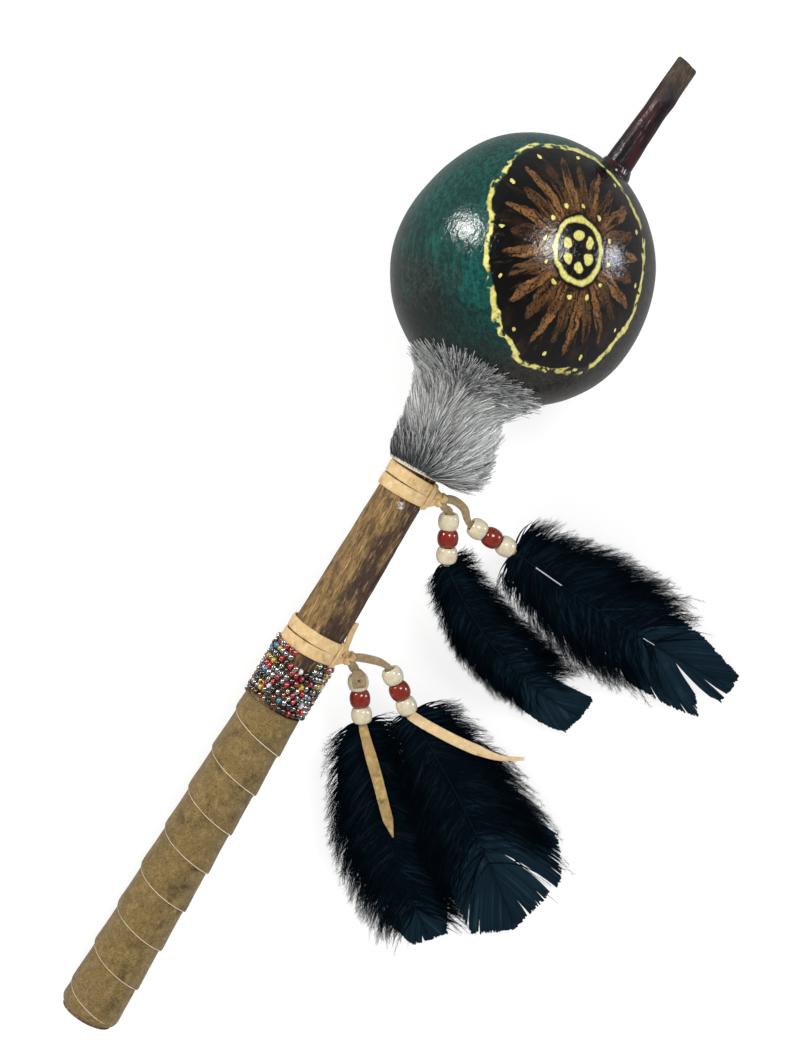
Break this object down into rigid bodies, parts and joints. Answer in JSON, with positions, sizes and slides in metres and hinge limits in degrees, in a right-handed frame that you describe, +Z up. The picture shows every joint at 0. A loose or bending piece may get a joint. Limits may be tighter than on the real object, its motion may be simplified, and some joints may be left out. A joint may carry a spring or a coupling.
{
  "type": "gourd rattle",
  "caption": "Hand rattle: a painted hollow gourd with loose pebbles on a bent stick, with a hide grip, fur collar, beads and black feather drops.",
  "frame": {"origin": "on the surface the rattle lies on, under the middle of the stick's length and of the gourd's width", "axes": "+X along the stick's shadow from butt to tip, +Z up, drops towards -Y"},
  "size_m": [0.4781, 0.2281, 0.1093],
  "materials": {
    "painted_gourd": "dried gourd under brushed teal paint and gloss varnish",
    "branch_wood": "varnished branch with patches of dark bark",
    "suede": "khaki tan suede with pale cut edges",
    "lace_leather": "soft pale tan lace",
    "fur": "grey rabbit fur",
    "fur_hide": "pale raw side of the fur strip",
    "bead_cream": "glossy cream",
    "bead_red": "glossy red-brown",
    "seed_beads": "opaque glass in mixed colours",
    "feather": "black feather with a faint blue sheen",
    "pebble": "smooth small stones",
    "glue": "dark red paint and glue"
  },
  "bodies": {
    "rattle": {"stick": "branch_wood", "butt_cap": "suede", "grip_wrap": "suede", "seed_bead_band": "seed_beads", "lower_lace_wrap": "lace_leather", "lower_lace_knot": "lace_leather", "upper_lace_wrap": "lace_leather", "upper_lace_knot": "lace_leather", "fur_hide": "fur_hide", "fur_pile": "fur", "gourd_shell": "painted_gourd", "neck_glue": "glue", "crown_glue": "glue"},
    "upper_left_lace": {"upper_left_lace": "lace_leather"},
    "upper_left_drop": {"upper_left_lace_end": "lace_leather", "upper_left_bead_1": "bead_cream", "upper_left_bead_2": "bead_red", "upper_left_bead_3": "bead_cream", "upper_left_feather": "feather"},
    "upper_right_lace": {"upper_right_lace": "lace_leather"},
    "upper_right_drop": {"upper_right_lace_end": "lace_leather", "upper_right_bead_1": "bead_cream", "upper_right_bead_2": "bead_red", "upper_right_bead_3": "bead_cream", "upper_right_feather": "feather"},
    "lower_left_lace": {"lower_left_lace": "lace_leather"},
    "lower_left_drop": {"lower_left_lace_end": "lace_leather", "lower_left_bead_1": "bead_cream", "lower_left_bead_2": "bead_red", "lower_left_bead_3": "bead_cream", "lower_left_feather": "feather"},
    "lower_right_lace": {"lower_right_lace": "lace_leather"},
    "lower_right_drop": {"lower_right_lace_end": "lace_leather", "lower_right_bead_1": "bead_cream", "lower_right_bead_2": "bead_red", "lower_right_bead_3": "bead_cream", "lower_right_feather": "feather"},
    "pebble_01": {"pebble_01": "pebble"},
    "pebble_02": {"pebble_02": "pebble"},
    "pebble_03": {"pebble_03": "pebble"},
    "pebble_04": {"pebble_04": "pebble"},
    "pebble_05": {"pebble_05": "pebble"},
    "pebble_06": {"pebble_06": "pebble"},
    "pebble_07": {"pebble_07": "pebble"},
    "pebble_08": {"pebble_08": "pebble"},
    "pebble_09": {"pebble_09": "pebble"},
    "pebble_10": {"pebble_10": "pebble"},
    "pebble_11": {"pebble_11": "pebble"},
    "pebble_12": {"pebble_12": "pebble"}
  },
  "joints": [
    {"name": "upper_left_swing", "type": "hinge", "parent": "rattle", "child": "upper_left_lace", "pos_m": [0.03234, -0.02013, 0.0433], "axis": [-0.9938, 0, -0.1116], "range_deg": [-45, 90]},
    {"name": "upper_left_sway", "type": "hinge", "parent": "upper_left_lace", "child": "upper_left_drop", "pos_m": [0.02945, -0.02632, 0.04101], "axis": [-0.1064, -0.3016, 0.9475], "range_deg": [-12, 2]},
    {"name": "upper_right_swing", "type": "hinge", "parent": "rattle", "child": "upper_right_lace", "pos_m": [0.03234, -0.02013, 0.0433], "axis": [-0.9938, 0, -0.1116], "range_deg": [-45, 90]},
    {"name": "upper_right_sway", "type": "hinge", "parent": "upper_right_lace", "child": "upper_right_drop", "pos_m": [0.03, -0.03662, 0.03891], "axis": [-0.1083, -0.2416, 0.9643], "range_deg": [-2, 20]},
    {"name": "lower_left_swing", "type": "hinge", "parent": "rattle", "child": "lower_left_lace", "pos_m": [-0.04507, -0.02172, 0.03461], "axis": [-0.9938, 0, -0.1116], "range_deg": [-45, 80]},
    {"name": "lower_left_sway", "type": "hinge", "parent": "lower_left_lace", "child": "lower_left_drop", "pos_m": [-0.04917, -0.02855, 0.03276], "axis": [-0.1094, -0.1984, 0.974], "range_deg": [-20, 0]},
    {"name": "lower_right_swing", "type": "hinge", "parent": "rattle", "child": "lower_right_lace", "pos_m": [-0.04507, -0.02172, 0.03461], "axis": [-0.9938, 0, -0.1116], "range_deg": [-45, 90]},
    {"name": "lower_right_sway", "type": "hinge", "parent": "lower_right_lace", "child": "lower_right_drop", "pos_m": [-0.04011, -0.03896, 0.03215], "axis": [-0.1099, -0.1715, 0.979], "range_deg": [0, 10]},
    {"name": "pebble_01_jump", "type": "slide", "parent": "rattle", "child": "pebble_01", "axis": [0, 0, 1], "range_m": [0, 0.035]},
    {"name": "pebble_02_jump", "type": "slide", "parent": "rattle", "child": "pebble_02", "axis": [0, 0, 1], "range_m": [0, 0.037]},
    {"name": "pebble_03_jump", "type": "slide", "parent": "rattle", "child": "pebble_03", "axis": [0, 0, 1], "range_m": [0, 0.038]},
    {"name": "pebble_04_jump", "type": "slide", "parent": "rattle", "child": "pebble_04", "axis": [0, 0, 1], "range_m": [0, 0.037]},
    {"name": "pebble_05_jump", "type": "slide", "parent": "rattle", "child": "pebble_05", "axis": [0, 0, 1], "range_m": [0, 0.038]},
    {"name": "pebble_06_jump", "type": "slide", "parent": "rattle", "child": "pebble_06", "axis": [0, 0, 1], "range_m": [0, 0.041]},
    {"name": "pebble_07_jump", "type": "slide", "parent": "rattle", "child": "pebble_07", "axis": [0, 0, 1], "range_m": [0, 0.042]},
    {"name": "pebble_08_jump", "type": "slide", "parent": "rattle", "child": "pebble_08", "axis": [0, 0, 1], "range_m": [0, 0.042]},
    {"name": "pebble_09_jump", "type": "slide", "parent": "rattle", "child": "pebble_09", "axis": [0, 0, 1], "range_m": [0, 0.092]},
    {"name": "pebble_10_jump", "type": "slide", "parent": "rattle", "child": "pebble_10", "axis": [0, 0, 1], "range_m": [0, 0.094]},
    {"name": "pebble_11_jump", "type": "slide", "parent": "rattle", "child": "pebble_11", "axis": [0, 0, 1], "range_m": [0, 0.094]},
    {"name": "pebble_12_jump", "type": "slide", "parent": "rattle", "child": "pebble_12", "axis": [0, 0, 1], "range_m": [0, 0.092]}
  ]
}
